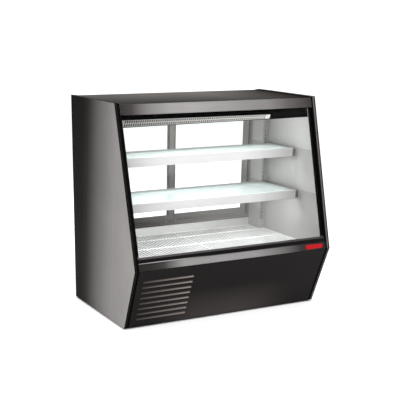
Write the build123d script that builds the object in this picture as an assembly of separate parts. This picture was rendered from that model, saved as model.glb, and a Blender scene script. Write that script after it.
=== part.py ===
from build123d import *
import math
import os

# Refrigerated deli case with a leaning glass front. Millimetres.
# Origin: middle of the footprint, on the floor. +X to the customer's right, +Y to the rear, +Z up.

# Driving dimensions of the outside
WIDTH = 1270.0
DEPTH = 826.0
HEIGHT = 1198.0
KNEE_Z = 360.0            # height of the front's furthest edge
TOP_SETBACK = 242.0       # the front's top edge stands this far behind the knee
BOTTOM_SETBACK = 139.0    # the front's floor edge stands this far behind the knee
FLOOR_GAP = 6.0           # end panels stop above the floor, the feet reach it
SKIN = 9.0                # black outer skin of an end panel
CORE = 19.0               # grey insulated core inside the skin
CORE_INSET = 2.0          # the core's edge stands back from the skin's edge

# Driving dimensions of the front, measured up the slope and in from the end panels' edges
SHEET = 2.0
FASCIA_BACK = 1.0         # the two fascias lie just inside the end panels' edges
HEADER_Z = (1139.5, 1191.0)
BUMPER_TOP_Z = 397.0
GLASS_DEPTH = 18.0
GLASS_THICK = 6.0
TRIM_WIDTH = 13.0
CHANNEL_Z = (398.5, 430.0)
GRILLE_DEPTH = 27.5
GRILLE_LOW = (754.0, 765.5)      # the grille's lower edge up the slope, at the left and the right
GRILLE_HIGH = (788.0, 784.0)     # its upper edge, likewise
GRILLE_RIGHT_X = 336.0
GRILLE_PITCH = 13.2
GRILLE_SLOT = 7.4               # width of a slot
GRILLE_SLOT_SHARE = 0.46         # its length, as a share of the grille's height
GRILLE_LEAN = 62.0              # degrees from the grille's length
DUCT_DEEP = 8.0                 # how far the air duct reaches behind the grille
LOUVRE_X = (-572.0, -264.0)
LOUVRE_Z = (59.0, 293.0)
LOUVRE_COUNT = 8
KICK_LOW_Z = 7.0
KICK_RETURN = 10.0              # depth of the kick panel's folded edges
SCREW_HOLE = 2.3
SCREW_X = 590.0

# Driving dimensions of the inside
LINER_X = 603.0
COLUMN_X = 565.0
COLUMN_Y = 235.0
REAR_INSIDE_Y = 358.0
CEILING_Z = 1140.0
DECK_Z = 350.0
RACK_TOP_Z = 356.0
RACK_PITCH = 20.0
RACK_WIRE = 2.8                 # radius of the close wires
RACK_CROSS = 2.8                # radius of the wires under them
TUB_FLOOR_Z = 256.0
SHELVES = {"upper": (898.0, -87.0, 154.0), "lower": (658.0, -142.0, 211.0)}
SHELF_X = 563.0
SHELF_GLASS = 8.0
SHELF_RAIL = 20.0
SHELF_LIP = 50.0
STANDARD_X = 577.0
STANDARD_WIDE = 24.0
STANDARD_DEEP = 9.0
ARM_WIDE = 15.0                 # a shelf bracket's folded arm
SLOT_PITCH = 25.4

# Driving dimensions of the rear doors
DOOR_Z = (416.0, 1088.0)
TRACK_Z = 412.0
DOOR_EDGE_X = 563.0
DOOR_OVERLAP = 42.0
DOOR_THICK = 14.0
DOOR_Y = {"left": 373.0, "right": 393.0}
STILE = 42.0
RAIL = 45.0
ROLLER_RADIUS = 9.9
ROLLER_PIN = 3.0
RUNNING = 0.05            # radial clearance of every shaft in its hole

# Driving dimensions of the base and the machinery
PAN_Z = 30.0
FEET = {"front_left": (-570, -215), "front_right": (570, -215),
        "rear_left": (-570, 370), "rear_right": (570, 370)}
FOOT_STUD = 5.0
FAN_SHAFT = 3.0
EVAPORATOR_RING = 39.0         # inner radius of an evaporator fan's ring
CONDENSER_RING = 71.0
EVAPORATOR_FANS = {"left": -200.0, "right": 200.0}
EVAPORATOR_FAN_Z = 302.0
CONDENSER_FAN = (-425.0, -190.0, 122.0)
COMPRESSOR = (-430.0, 120.0)
DRAIN = (300.0, 250.0)
PANEL_Y = 396.0
INSULATION_REAR_Y = 388.0
CONTROLLER = (366.0, 165.0)
BUTTON_X = (352.0, 343.0, 334.0)
BUTTON_RADIUS = 3.6
SWITCH = (270.0, 165.0)

# Places that follow from the driving dimensions
SIDE_X = WIDTH / 2
REAR_Y = DEPTH / 2
FRONT_Y = -DEPTH / 2
INSIDE_X = SIDE_X - SKIN - CORE
FRONT_TILT = math.atan2(TOP_SETBACK, HEIGHT - KNEE_Z)
KICK_TILT = math.atan2(BOTTOM_SETBACK, KNEE_Z)
FRONT = Plane(origin=(0, FRONT_Y, KNEE_Z), x_dir=(1, 0, 0),
              z_dir=(0, -math.cos(FRONT_TILT), math.sin(FRONT_TILT)))
KICK = Plane(origin=(0, FRONT_Y, KNEE_Z), x_dir=(1, 0, 0),
             z_dir=(0, -math.cos(KICK_TILT), -math.sin(KICK_TILT)))
REAR = Plane(origin=(0, PANEL_Y + SHEET, 0), x_dir=(-1, 0, 0), z_dir=(0, 1, 0))


def up_front(z):
    """Distance up the leaning front of a height z."""
    return (z - KNEE_Z) / math.cos(FRONT_TILT)


def front_y(z, depth=0.0):
    """Where the front lies at height z, a depth in from the end panels' edges."""
    return FRONT_Y + (z - KNEE_Z) * math.tan(FRONT_TILT) + depth / math.cos(FRONT_TILT)


def down_kick(z):
    """Distance up the kick panel's plane of a height z, negative below the knee."""
    return (z - KNEE_Z) / math.cos(KICK_TILT)


# Building helpers

def block(x0, x1, y0, y1, z0, z1, plane=Plane.XY):
    """A box between two corners, in the plane's own axes."""
    centre = Pos((x0 + x1) / 2, (y0 + y1) / 2, (z0 + z1) / 2)
    return plane.location * centre * Box(x1 - x0, y1 - y0, z1 - z0)


def rod(start, end, radius):
    """A round bar between two points."""
    axis = Vector(end) - Vector(start)
    middle = Pos(0, 0, axis.length / 2)
    return Plane(origin=start, z_dir=axis).location * middle * Cylinder(radius, axis.length)


def drawn(plane, outline, x0, x1):
    """An outline of (up, out) points on a plane, drawn out along the plane's x axis."""
    side = Plane(origin=plane.origin + plane.x_dir * x0, x_dir=plane.y_dir, z_dir=plane.x_dir)
    return extrude(side * Polygon(*outline, align=None), x1 - x0, dir=plane.x_dir)


def across(outline, x0, x1):
    """An outline of (y, z) points, drawn out from x0 to x1."""
    return extrude(Plane.YZ.offset(x0) * Polygon(*outline, align=None), x1 - x0, dir=(1, 0, 0))


def pipe(points, radius, bend):
    """A round tube that follows points, with rounded corners."""
    path = FilletPolyline(*points, radius=bend)
    return sweep(Plane(origin=path @ 0, z_dir=path % 0) * Circle(radius), path=path)


def mirrored(shape):
    """The same shape on the other side of the case."""
    return mirror(shape, about=Plane.YZ)


def save(name, *pieces):
    """Writes one sub-part, made of one or more separate solids."""
    solids = [solid for piece in pieces for solid in piece.solids()]
    shape = solids[0] if len(solids) == 1 else Compound(solids)
    export_step(shape, f"parts/{name}.step")


# End panels

def end_outline(inset):
    """The side view of the case, pulled in by an inset."""
    face = make_face(Polyline((REAR_Y, FLOOR_GAP), (REAR_Y, HEIGHT),
                              (FRONT_Y + TOP_SETBACK, HEIGHT), (FRONT_Y, KNEE_Z),
                              (FRONT_Y + (KNEE_Z - FLOOR_GAP) * math.tan(KICK_TILT), FLOOR_GAP),
                              close=True))
    if inset:
        face = offset(face, -inset, kind=Kind.INTERSECTION)
    return face


def end_panels():
    skin = extrude(Plane.YZ.offset(SIDE_X - SKIN) * end_outline(0), SKIN)
    skin = fillet(skin.edges(), 1.2)
    core = extrude(Plane.YZ.offset(INSIDE_X) * end_outline(CORE_INSET), CORE)
    save("end_panel_right", skin)
    save("end_panel_left", mirrored(skin))
    save("end_panel_cores", core, mirrored(core))


# Canopy

def fascia(low, high, back):
    """A folded strip across the front: a face with a return along its top and its bottom."""
    edge = INSIDE_X - 1
    face = -FASCIA_BACK
    outline = [(low, face), (high, face), (high, -back), (high - SHEET, -back),
               (high - SHEET, face - SHEET), (low + SHEET, face - SHEET),
               (low + SHEET, -back), (low, -back)]
    strip = drawn(FRONT, outline, -edge, edge)
    long_edges = strip.edges().filter_by(Axis.X)
    outer = [e for e in long_edges if abs(FRONT.to_local_coords(e.center()).Z - face) < 0.01]
    return fillet(outer, 1.2)


def canopy():
    edge = INSIDE_X - 1
    top = HEIGHT - 5
    roof_front = front_y(top) + 0.5
    roof = block(-edge, edge, roof_front, REAR_Y - 2, top - 1.5, top)
    rear_return = block(-edge, edge, REAR_Y - 4, REAR_Y - 2, 1120, top - 1.5)
    save("top_panel", roof + rear_return)
    save("header_fascia", fascia(up_front(HEADER_Z[0]), up_front(HEADER_Z[1]), 14))
    ceiling = block(-LINER_X + 1, LINER_X - 1, -130, REAR_INSIDE_Y, CEILING_Z, HEIGHT - 8)
    save("canopy_ceiling", fillet(ceiling.edges().filter_by(Axis.X), 2))


def grille_edge(x, ends):
    """Where the grille's lower or upper edge lies up the slope, at x."""
    left, right = ends
    return left + (right - left) * (x + INSIDE_X) / (2 * INSIDE_X)


def front_slab(outline, out0, out1):
    """An outline of (x, up) points on the front's plane, between two distances out from it."""
    plane = Plane(origin=FRONT.origin + FRONT.z_dir * out0, x_dir=FRONT.x_dir, z_dir=FRONT.z_dir)
    face = outline if isinstance(outline, Sketch) else Polygon(*outline, align=None)
    return extrude(plane * face, out1 - out0)


def grille_band(x0, x1, rim, out0, out1):
    """A slab that follows the grille's tapered edges, with a rim beyond them."""
    outline = [(x0, grille_edge(x0, GRILLE_LOW) - rim), (x1, grille_edge(x1, GRILLE_LOW) - rim),
               (x1, grille_edge(x1, GRILLE_HIGH) + rim), (x0, grille_edge(x0, GRILLE_HIGH) + rim)]
    return front_slab(outline, out0, out1)


def grille_slots(left, right):
    """Two staggered rows of leaning slots, as long as the tapered grille allows."""
    slots = []
    count = int((right - left) / GRILLE_PITCH)
    for i in range(count):
        for row in (0, 1):
            x = left + GRILLE_PITCH * (i + 0.5 * row)
            low, high = grille_edge(x, GRILLE_LOW), grille_edge(x, GRILLE_HIGH)
            slot = SlotOverall(GRILLE_SLOT_SHARE * (high - low), GRILLE_SLOT)
            slots.append(Pos(x, low + (high - low) * (0.25 + 0.5 * row)) * Rot(0, 0, GRILLE_LEAN) * slot)
    return slots


def duct_panel_and_grille():
    """A dark panel behind the top of the glass, with a shallow air duct that a slotted grille covers."""
    side = INSIDE_X - TRIM_WIDTH - 1
    back = -GRILLE_DEPTH - SHEET
    rim, duct_wall = 3, 1.5
    left, right = -side + 8, GRILLE_RIGHT_X - 14
    outline = [(-side, grille_edge(-side, GRILLE_LOW) - rim), (side, grille_edge(side, GRILLE_LOW) - rim),
               (side, 850), (-side, 850)]
    panel = front_slab(outline, back - SHEET, back)
    panel += grille_band(left - duct_wall, right + duct_wall, duct_wall - rim, -GRILLE_DEPTH - DUCT_DEEP - SHEET,
                         back - SHEET)
    panel -= grille_band(left, right, -rim, duct_wall - GRILLE_DEPTH - DUCT_DEEP - SHEET, back + 1)
    save("duct_panel", panel)
    high = grille_edge(GRILLE_RIGHT_X, GRILLE_HIGH)
    low = grille_edge(GRILLE_RIGHT_X, GRILLE_LOW)
    right_low = GRILLE_RIGHT_X - (high - low) / math.tan(math.radians(GRILLE_LEAN))
    face = make_face(Polyline((-side, grille_edge(-side, GRILLE_LOW)), (right_low, low), (GRILLE_RIGHT_X, high),
                              (-side, grille_edge(-side, GRILLE_HIGH)), close=True))
    face -= grille_slots(-side + 14, right_low - 8)
    save("slot_grille", front_slab(face, -GRILLE_DEPTH, -GRILLE_DEPTH + SHEET))


def canopy_light():
    """A lamp housing below the canopy, just behind the duct panel, with a round-bellied lens."""
    outline = Polyline((-152, 1139), (-108, 1139), (-108, 1126))
    belly = ThreePointArc((-108, 1126), (-130, 1108), (-152, 1126))
    face = make_face(outline + belly + Line((-152, 1126), (-152, 1139)))
    save("canopy_light", extrude(Plane.YZ.offset(-560) * face, 1120, dir=(1, 0, 0)))


# Glass front

def glass_front():
    edge = INSIDE_X - 4.5
    front = -GLASS_DEPTH
    back = front - GLASS_THICK
    glass = block(-edge, edge, up_front(CHANNEL_Z[0]) + 6, up_front(HEADER_Z[1]) - 4, back, front, FRONT)
    save("front_glass", chamfer(glass.edges(), 0.6))
    trim_edge = INSIDE_X - 0.5
    low = up_front(CHANNEL_Z[1]) + 0.5
    high = up_front(HEADER_Z[0]) + 6
    trim = block(INSIDE_X - TRIM_WIDTH, trim_edge, low, high, back - 3, front + 3, FRONT)
    trim -= block(0, edge + 0.5, low - 1, high + 1, back - 0.5, front + 0.5, FRONT)
    channel_low, channel_high = up_front(CHANNEL_Z[0]), up_front(CHANNEL_Z[1])
    outline = [(channel_low, -3), (channel_high - 12, -3), (channel_high, front + 0.5),
               (channel_low + 5, front + 0.5), (channel_low + 5, back - 0.5),
               (channel_high - 6, back - 0.5), (channel_high - 6, back - 3.5), (channel_low, back - 3.5)]
    channel = drawn(FRONT, outline, -trim_edge, trim_edge)
    save("glass_gaskets", channel, trim, mirrored(trim))


def bumper_and_badge():
    save("bumper_fascia", fascia(0.5, up_front(BUMPER_TOP_Z), 16))
    centre_x, length, tall = 526.0, 118.0, 25.0
    middle = up_front((KNEE_Z + BUMPER_TOP_Z) / 2)
    base = Plane(origin=FRONT.origin - FRONT.z_dir * FASCIA_BACK, x_dir=FRONT.x_dir, z_dir=FRONT.z_dir)
    plate = extrude(base * Pos(centre_x, middle) * RectangleRounded(length, tall, 6), 1.6)
    outer = [e for e in plate.edges() if FRONT.to_local_coords(e.center()).Z > 0.3]
    save("badge_plate", fillet(outer, 0.6))


# Kick panel and rear panel

def louvred(panel, plane, x0, x1, heights, face):
    """Cuts a row of air slots in a sheet and covers each one with a pressed hood."""
    for up in heights:
        panel -= block(x0 + 2, x1 - 2, up - 5, up + 5, face - 2 * SHEET, face + 1, plane)
    for up in heights:
        hood = [(up + 9, face - 1), (up + 7, face), (up - 6, face + 5), (up - 6.8, face + 3.6), (up + 4.5, face - 1)]
        cheek = [(up + 9, face - 1), (up + 7, face), (up - 6, face + 5), (up - 6.8, face - 1)]
        panel += drawn(plane, hood, x0, x1)
        panel += drawn(plane, cheek, x0, x0 + 1.5)
        panel += drawn(plane, cheek, x1 - 1.5, x1)
    return panel


def kick_panel():
    edge = INSIDE_X - 1
    low, high = down_kick(KICK_LOW_Z), -3.0
    face = -FASCIA_BACK
    panel = block(-edge, edge, low, high, face - SHEET, face, KICK)
    inner = face - KICK_RETURN
    panel += block(-edge, edge, low, low + SHEET, inner, face, KICK)
    for side in (-1, 1):
        x0, x1 = sorted((side * edge, side * (edge - SHEET)))
        panel += block(x0, x1, low, high - 12, inner, face, KICK)
    step = (LOUVRE_Z[1] - LOUVRE_Z[0]) / (LOUVRE_COUNT - 1)
    heights = [down_kick(LOUVRE_Z[0] + i * step) for i in range(LOUVRE_COUNT)]
    panel = louvred(panel, KICK, LOUVRE_X[0], LOUVRE_X[1], heights, face)
    spots = [(x, up) for x in (-SCREW_X, SCREW_X) for up in (low + 29, high - 22)]
    for x, up in spots:
        panel -= KICK.location * Pos(x, up, face) * Cylinder(SCREW_HOLE, 10)
    save("kick_panel", panel)
    return [screw(KICK, x, up, face) for x, up in spots]


def rear_panel():
    edge = INSIDE_X - 2
    panel = block(-edge, edge, 14, 395, -SHEET, 0, REAR)
    heights = [60 + 26 * i for i in range(6)]
    panel = louvred(panel, REAR, 190, 560, heights, 0)
    x, z = CONTROLLER
    panel -= block(x - 35.6, x + 35.6, PANEL_Y - 1, PANEL_Y + 3, z - 14.6, z + 14.6)
    x, z = SWITCH
    panel -= block(x - 11, x + 11, PANEL_Y - 1, PANEL_Y + 3, z - 14, z + 14)
    spots = [(x, up) for x in (-SCREW_X, 0, SCREW_X) for up in (34, 380)]
    for x, up in spots:
        panel -= REAR.location * Pos(x, up, 0) * Cylinder(SCREW_HOLE, 10)
    save("rear_panel", panel)
    return [screw(REAR, x, up, 0) for x, up in spots]


def screw(plane, x, up, face):
    """A pan-head sheet-metal screw with a cross recess, short enough to stop inside the skin."""
    head = Pos(0, 0, 1.2) * Cylinder(4.6, 2.4)
    head = fillet(head.edges().group_by(Axis.Z)[-1], 1.1)
    head -= Pos(0, 0, 2.4) * (Box(5, 1, 1.8) + Box(1, 5, 1.8))
    shank = Pos(0, 0, -3.5) * Cylinder(2.1, 7)
    return plane.location * Pos(x, up, face) * (head + shank)


# Inside of the display chamber

def side_liners():
    """Bent sheets: a flat cheek, then a step inwards that forms the rear air column."""
    low, high = DECK_Z + 0.5, CEILING_Z - 0.5
    cheek = across([(front_y(low, 29), low), (COLUMN_Y + 1.5, low),
                    (COLUMN_Y + 1.5, high), (front_y(high, 29), high)], LINER_X, LINER_X + 1.5)
    step = block(COLUMN_X, LINER_X + 1.5, COLUMN_Y, COLUMN_Y + 1.5, low, high)
    flank = block(COLUMN_X, COLUMN_X + 1.5, COLUMN_Y, REAR_INSIDE_Y, low, high)
    liner = cheek + step + flank
    save("side_liners", liner, mirrored(liner))


def tub():
    """The cold pan below the deck, its flanges and the insulation around it."""
    side, front, rear = 575.0, -324.0, 352.0
    pan = block(-side, side, front, rear, TUB_FLOOR_Z, DECK_Z)
    pan -= block(-side + 2, side - 2, front + 2, rear - 2, TUB_FLOOR_Z + 2, DECK_Z + 1)
    top = DECK_Z
    flange = side - 2
    pan += block(-LINER_X + 1, LINER_X - 1, -366, front + 2, top - SHEET, top)
    pan += block(-LINER_X + 1, LINER_X - 1, -366, -364, top - SHEET, 392)
    pan += block(-LINER_X + 1, LINER_X - 1, rear - 2, REAR_INSIDE_Y, top - SHEET, top)
    pan += block(-COLUMN_X + 1, COLUMN_X - 1, REAR_INSIDE_Y - 2, REAR_INSIDE_Y, top - SHEET, 399)
    pan += block(flange, LINER_X - 1, front, rear, top - SHEET, top)
    pan += block(-LINER_X + 1, -flange, front, rear, top - SHEET, top)
    drain = Pos(DRAIN[0], DRAIN[1], TUB_FLOOR_Z) * Cylinder(8.1, 80)
    save("tub_liner", pan - drain)
    core = block(-605, 605, -350, INSULATION_REAR_Y, 228, DECK_Z - 2.5)
    core += block(-605, 605, REAR_INSIDE_Y + 1, INSULATION_REAR_Y, DECK_Z - 3, 399)
    core -= block(-side - 0.5, side + 0.5, front - 0.5, rear + 0.5, TUB_FLOOR_Z - 0.5, DECK_Z)
    save("tub_insulation", core - drain)


def shelf(top, front, rear):
    """A glass shelf: the pane, and a folded frame with a deep lip that hides a lamp."""
    under = top - SHELF_GLASS
    pane = block(-SHELF_X + 3, SHELF_X - 3, front + 3, rear, under, top)
    pane = chamfer(pane.edges(), 0.8)
    lip = across([(front, top + 2), (front, top + 2 - SHELF_LIP), (front + 16, top + 2 - SHELF_LIP),
                  (front + 16, top + 4 - SHELF_LIP), (front + 2, top + 4 - SHELF_LIP), (front + 2, top + 2)],
                 -SHELF_X, SHELF_X)
    lip = fillet([e for e in lip.edges().filter_by(Axis.X) if e.center().Y < front + 0.01], 1.0)
    rail_low = under - SHELF_RAIL
    frame = lip + block(-SHELF_X, SHELF_X, rear - 12, rear, rail_low, under)
    frame += block(-SHELF_X, SHELF_X, front + 1, front + 12, rail_low, under)
    for side in (-1, 1):
        x0, x1 = sorted((side * SHELF_X, side * (SHELF_X - 12)))
        frame += block(x0, x1, front + 1, rear, rail_low, under)
    return pane, frame


def slot_heights():
    """Middles of the slots in a shelf standard."""
    return [430 + SLOT_PITCH * i for i in range(26)]


def standards():
    """Slotted upright channels on the front of the rear columns."""
    low, high, wall = 410, 1090, 2
    half = STANDARD_WIDE / 2
    front = COLUMN_Y - STANDARD_DEEP
    rail = block(STANDARD_X - half, STANDARD_X + half, front, COLUMN_Y, low, high)
    rail -= block(STANDARD_X - half + wall, STANDARD_X + half - wall, front + wall, COLUMN_Y + 1, low - 1, high + 1)
    rail -= [block(STANDARD_X - 2, STANDARD_X + 2, front - 1, front + wall + 1, z - 6.5, z + 6.5)
             for z in slot_heights()]
    save("shelf_standards", rail, mirrored(rail))


def bracket(top, front, rear):
    """A folded cantilever arm beside a shelf's end: it hooks in a standard and carries the shelf on a flange."""
    seat = top - SHELF_GLASS - SHELF_RAIL
    wall, hook = 1.5, 1.5
    inner, outer = STANDARD_X - ARM_WIDE / 2, STANDARD_X + ARM_WIDE / 2
    back = COLUMN_Y - STANDARD_DEEP
    nose = front + 5
    arm = across([(back, top - 4), (back, seat - 62), (back - 40, seat - 60), (nose + 6, seat - 20),
                  (nose, seat - 14), (nose, top - 4)], inner, outer)
    arm -= block(inner + wall, outer - wall, nose + wall, back - wall, seat - 70, top - 4 - wall)
    arm += block(SHELF_X - 12, inner + wall, front + 24, min(rear, back), seat - 3, seat)
    hooks = [z for z in slot_heights() if seat - 56 < z < seat - 6]
    for z in hooks:
        arm += block(STANDARD_X - hook, STANDARD_X + hook, back - 1, back + 6, z - 5, z + 5)
    return arm


def shelves():
    arms = []
    for name, (top, front, rear) in SHELVES.items():
        pane, frame = shelf(top, front, rear)
        save(f"{name}_shelf_glass", pane)
        save(f"{name}_shelf_frame", frame)
        arm = bracket(top, front, rear)
        arms += [arm, mirrored(arm)]
    save("shelf_brackets", *arms)


def floor_rack(x0, x1):
    """A welded wire deck: close wires front to back over a few cross wires and a border."""
    y0, y1, notch_y = -360.0, 349.0, COLUMN_Y - 14
    wire, cross = RACK_WIRE, RACK_CROSS
    top = RACK_TOP_Z - wire
    low = DECK_Z + cross
    notch_x = COLUMN_X - 4
    crosses = [rod((x0 + 2, y, low), (x1 - 2, y, low), cross)
               for y in (y0 + 3, y0 + 195, y0 + 388, notch_y - 3)]
    crosses.append(rod((max(x0 + 2, -notch_x), y1 - 3, low), (min(x1 - 2, notch_x), y1 - 3, low), cross))
    count = int((x1 - x0 - 8) / RACK_PITCH)
    pitch = (x1 - x0 - 8) / count
    places = [x0 + 4 + i * pitch for i in range(count + 1)]
    wires = [rod((x, y0, top), (x, y1 if abs(x) < notch_x else notch_y, top), wire) for x in places]
    return crosses[0].fuse(*crosses[1:], *wires)


# Rear doors

def rear_door_frame():
    """The aluminium surround, with two tracks side by side below and above."""
    edge = INSIDE_X - 1
    opening = DOOR_EDGE_X + 3
    front, rear = REAR_INSIDE_Y + 1, 405.0
    head_z = 1104.0
    frame = block(-edge, edge, front, rear, 400, HEIGHT - 8)
    frame -= block(-opening, opening, front - 1, rear + 1, TRACK_Z, head_z)
    for y0, y1 in ((362, 364.5), (382, 384), (402, 404.5)):
        frame += block(-opening, opening, y0, y1, TRACK_Z - 1, TRACK_Z + 10)
        frame += block(-opening, opening, y0, y1, head_z - 26, head_z + 1)
    save("rear_door_frame", frame)


def door(side):
    """One sliding door: the framed leaf, its double pane and its two rollers."""
    sign = -1 if side == "left" else 1
    x0, x1 = sorted((sign * DOOR_EDGE_X, -sign * DOOR_OVERLAP / 2))
    middle = DOOR_Y[side]
    y0, y1 = middle - DOOR_THICK / 2, middle + DOOR_THICK / 2
    z0, z1 = DOOR_Z
    leaf = block(x0, x1, y0, y1, z0, z1)
    leaf = fillet(leaf.edges().filter_by(Axis.Z), 1.5)
    leaf -= block(x0 + STILE, x1 - STILE, y0 - 1, y1 + 1, z0 + RAIL, z1 - RAIL)
    bite = 7.0
    panes = [(middle - 5, middle - 2), (middle + 2, middle + 5)]
    for near, far in panes:
        leaf -= block(x0 + STILE - bite, x1 - STILE + bite, near, far, z0 + RAIL - bite, z1 - RAIL + bite)
    pull_x = sign * (DOOR_EDGE_X - STILE / 2)
    cup = extrude(Plane(origin=(pull_x, y1 - 2, 760), x_dir=(0, 0, 1), z_dir=(0, 1, 0)) * SlotOverall(140, 20), 3)
    leaf -= cup
    wheels = [x0 + 60, x1 - 60]
    hub_z = TRACK_Z + ROLLER_RADIUS + 0.1
    for x in wheels:
        leaf -= block(x - 14, x + 14, middle - 4.5, middle + 4.5, z0 - 1, z0 + 22)
        leaf -= rod((x, y0 - 1, hub_z), (x, y1 + 1, hub_z), ROLLER_PIN + RUNNING)
    save(f"{side}_door_frame", leaf)
    gap = 0.2
    save(f"{side}_door_glass", *[block(x0 + STILE - bite + gap, x1 - STILE + bite - gap, near + gap, far - gap,
                                       z0 + RAIL - bite + gap, z1 - RAIL + bite - gap) for near, far in panes])
    for end, x in zip(("a", "b"), wheels):
        save(f"{side}_door_roller_{end}", roller(x, middle, hub_z))


def roller(x, y, z):
    """A grooved wheel with its pin, which turns in the bottom rail of the door."""
    wheel = Cylinder(ROLLER_RADIUS, 7)
    wheel = chamfer(wheel.edges(), 0.8)
    wheel += Cylinder(ROLLER_PIN, DOOR_THICK - 1)
    wheel -= [Rot(0, 0, 72 * i) * Pos(6.3, 0, 0) * Cylinder(1.2, 8) for i in range(5)]
    return Plane(origin=(x, y, z), z_dir=(0, 1, 0)).location * wheel


# Cold side below the deck

def finned_coil(box_low, box_high, fin_count, rows, columns, tube):
    """Upright fins threaded by one tube that runs back and forth along X."""
    (x0, y0, z0), (x1, y1, z1) = box_low, box_high
    ys = [y0 + (y1 - y0) * (i + 0.5) / columns for i in range(columns)]
    zs = [z0 + (z1 - z0) * (i + 0.5) / rows for i in range(rows)]
    spots = [(y, z) for i, y in enumerate(ys) for z in (zs if i % 2 == 0 else reversed(zs))]
    plate = Pos((y0 + y1) / 2, (z0 + z1) / 2) * Rectangle(y1 - y0, z1 - z0)
    plate -= [Pos(y, z) * Circle(tube + RUNNING) for y, z in spots]
    fin = extrude(Plane.YZ * plate, 1.0)
    step = (x1 - x0 - 1) / (fin_count - 1)
    fins = [Pos(x0 + i * step, 0, 0) * fin for i in range(fin_count)]
    runs = [rod((x0 - 4, y, z), (x1 + 4, y, z), tube) for y, z in spots]
    bends = []
    for i, (here, there) in enumerate(zip(spots, spots[1:])):
        outwards = 1 if i % 2 == 0 else -1
        x = x1 + 4 if outwards > 0 else x0 - 4
        middle = Vector(x, (here[0] + there[0]) / 2, (here[1] + there[1]) / 2)
        arm = Vector(x, *here) - middle
        turn = Axis(middle, arm.cross(Vector(outwards, 0, 0)))
        ring = Plane(origin=(x, *here), z_dir=(1, 0, 0)) * Circle(tube)
        bends.append(revolve(ring, turn, 180))
    line = runs[0].fuse(*runs[1:], *bends)
    return [*fins, line]


def fan_rotor(centre, radius, hub, depth, blades, shaft_length):
    """A pressed fan: pitched blades on a hub, with the motor's shaft running to the rear."""
    turn = 360 / blades
    reach = radius - hub + 6
    blade = Pos(hub + reach / 2 - 4, 0, 0) * Rot(38, 0, 0) * Box(reach, radius * 0.62, 1.6)
    wheel = Cylinder(hub, depth)
    for i in range(blades):
        wheel += Rot(0, 0, i * turn) * blade
    wheel &= Cylinder(radius, depth)
    wheel += Pos(0, 0, depth / 2 + shaft_length / 2 - 1) * Cylinder(FAN_SHAFT, shaft_length + 2)
    return Plane(origin=centre, z_dir=(0, 1, 0)).location * wheel


def motor(centre_x, centre_z, front_y_, length, radius):
    """A fan motor: a finned can with a bore for its shaft."""
    can = Cylinder(radius, length)
    can = fillet(can.edges(), 3)
    can -= [Rot(0, 0, 30 * i) * Pos(radius, 0, 0) * Box(3, 2.5, length - 14) for i in range(12)]
    can -= Pos(0, 0, -length / 2) * Cylinder(FAN_SHAFT + RUNNING, length * 1.2)
    middle = (centre_x, front_y_ + length / 2, centre_z)
    return Plane(origin=middle, z_dir=(0, 1, 0)).location * can


def shroud_ring(x, z, y0, y1, inner, bar_y):
    """A ring round a fan, with a cross of bars behind it that carries the motor."""
    ring = rod((x, y0, z), (x, y1, z), inner + 2.5) - rod((x, y0 - 1, z), (x, y1 + 1, z), inner)
    bars = block(x - inner - 1, x + inner + 1, bar_y, bar_y + 2.5, z - 3, z + 3)
    bars += block(x - 3, x + 3, bar_y, bar_y + 2.5, z - inner - 1, z + inner + 1)
    bars -= rod((x, bar_y - 1, z), (x, bar_y + 4, z), 5)
    return ring + bars


def cold_side():
    save("evaporator_coil", *finned_coil((-420, -55, 264), (420, 95, 342), 36, 3, 5, 4.5))
    plate = block(-571, 571, -112, -110, TUB_FLOOR_Z + 2.5, 345)
    for x in EVAPORATOR_FANS.values():
        plate -= rod((x, -120, EVAPORATOR_FAN_Z), (x, -100, EVAPORATOR_FAN_Z), EVAPORATOR_RING + 2)
    for x in EVAPORATOR_FANS.values():
        plate += shroud_ring(x, EVAPORATOR_FAN_Z, -112, -94, EVAPORATOR_RING, -97)
    save("evaporator_bulkhead", plate)
    for side, x in EVAPORATOR_FANS.items():
        save(f"evaporator_fan_{side}", fan_rotor((x, -106, EVAPORATOR_FAN_Z), 37.5, 12, 13, 5, 22))
    x, y = DRAIN
    spout = Pos(x, y, 164) * (Cylinder(8, 188) - Cylinder(6, 190))
    save("drain_tube", spout)


# Machine compartment

def base_frame():
    """The floor pan on two hollow cross rails, which the feet screw into."""
    frame = block(-604, 604, -255, 394, PAN_Z - 2, PAN_Z)
    for y0, y1 in ((-245, -185), (340, 392)):
        frame += block(-604, 604, y0, y1, 10, PAN_Z - 1)
    for y0, y1 in ((-245, -185), (340, 392)):
        frame -= block(-610, 610, y0 + 2, y1 - 2, 12, PAN_Z - 2)
    for x, y in FEET.values():
        frame -= rod((x, y, 5), (x, y, PAN_Z + 5), FOOT_STUD + RUNNING)
    save("base_frame", frame)


def foot(x, y):
    """A levelling foot: a flared pad with flats for a spanner, on a stud."""
    pad = extrude(RegularPolygon(11, 6), 8)
    pad += Pos(0, 0, 2) * Cylinder(22, 4)
    pad = Pos(x, y, 0) * pad
    return pad + rod((x, y, 5), (x, y, 50), FOOT_STUD)


def compressor():
    x, y = COMPRESSOR
    can = Pos(0, 0, 87) * Cylinder(78, 150)
    can = fillet(can.edges(), 34)
    can += Pos(0, 0, 92) * Cylinder(81, 8)
    can += Pos(0, 0, 5) * Box(190, 150, 4)
    can += [Pos(a, b, 4) * Cylinder(13, 8) for a in (-80, 80) for b in (-60, 60)]
    can += Pos(84, 0, 90) * Box(26, 54, 60)
    can += Pos(0, 0, 10) * Cylinder(50, 10)
    save("compressor", Pos(x, y, PAN_Z) * can)


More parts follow.
